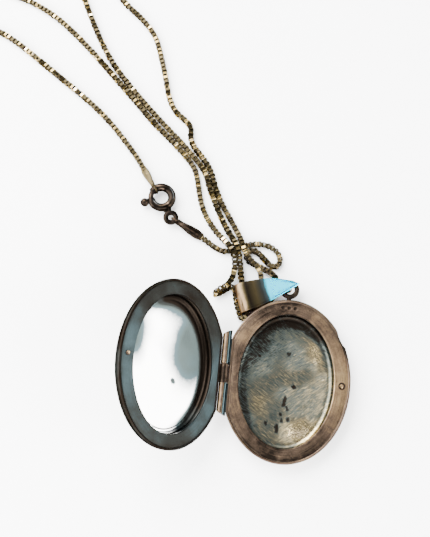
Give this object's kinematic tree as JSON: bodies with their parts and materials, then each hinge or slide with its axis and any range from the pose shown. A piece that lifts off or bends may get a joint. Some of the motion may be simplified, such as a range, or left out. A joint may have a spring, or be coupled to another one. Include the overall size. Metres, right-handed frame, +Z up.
{
  "type": "locket",
  "caption": "Oval hinged locket, open on its back, with a folded bail, a fine box chain and a spring ring clasp",
  "frame": {"origin": "centre of the back half's outer flat, where the locket lies on a table", "axes": "+Z up into the open half, +Y along the oval towards the bail, +X towards the catch, so the hinge is at -X"},
  "size_m": [0.0937, 0.1112, 0.0185],
  "materials": {
    "tarnished_silver": "tarnished sterling silver, satin",
    "copper_toned_rim": "tarnished sterling silver, brown toned, brushed along the oval",
    "grey_rim": "tarnished sterling silver, blue grey, brushed",
    "brushed_bowl": "scratched sterling silver",
    "mirror_bowl": "polished sterling silver",
    "hinge_silver": "tarnished sterling silver",
    "bail_silver": "polished silver, partly tarnished",
    "chain_silver": "warm tarnished silver box links",
    "dark_silver": "heavily tarnished silver",
    "spring_wire": "steel spring wire"
  },
  "bodies": {
    "back": {"back_shell": "tarnished_silver", "back_rim": "copper_toned_rim", "back_bowl": "brushed_bowl", "hinge_knuckle_upper": "hinge_silver", "hinge_knuckle_lower": "hinge_silver", "hinge_pin": "hinge_silver", "bail_ring": "tarnished_silver", "bail_ring_peg": "tarnished_silver"},
    "lid": {"lid_shell": "tarnished_silver", "lid_rim": "grey_rim", "lid_bowl": "mirror_bowl", "catch_nub": "hinge_silver", "hinge_knuckle_middle": "hinge_silver"},
    "bail": {"bail": "bail_silver", "chain_to_ring": "chain_silver", "chain_to_eye": "chain_silver", "end_tag_ring": "chain_silver", "end_tag_eye": "dark_silver", "clasp_ring": "dark_silver", "clasp_eye": "dark_silver", "clasp_spring": "spring_wire"},
    "bolt": {"clasp_bolt": "dark_silver", "clasp_thumb": "dark_silver"}
  },
  "joints": [
    {"name": "lid_hinge", "type": "hinge", "parent": "back", "child": "lid", "pos_m": [-0.01215, 0, 0.0034], "axis": [0, 1, 0], "range_deg": [0, 142]},
    {"name": "bail_swing", "type": "hinge", "parent": "back", "child": "bail", "pos_m": [-0.0006, 0.0183, 0.0022], "axis": [0, 0, 1], "range_deg": [-109, 0]},
    {"name": "clasp_trigger", "type": "hinge", "parent": "bail", "child": "bolt", "pos_m": [-0.028, 0.035, 0.00115], "axis": [0, 0, 1], "range_deg": [0, 45], "deforming": ["clasp_spring"]}
  ]
}
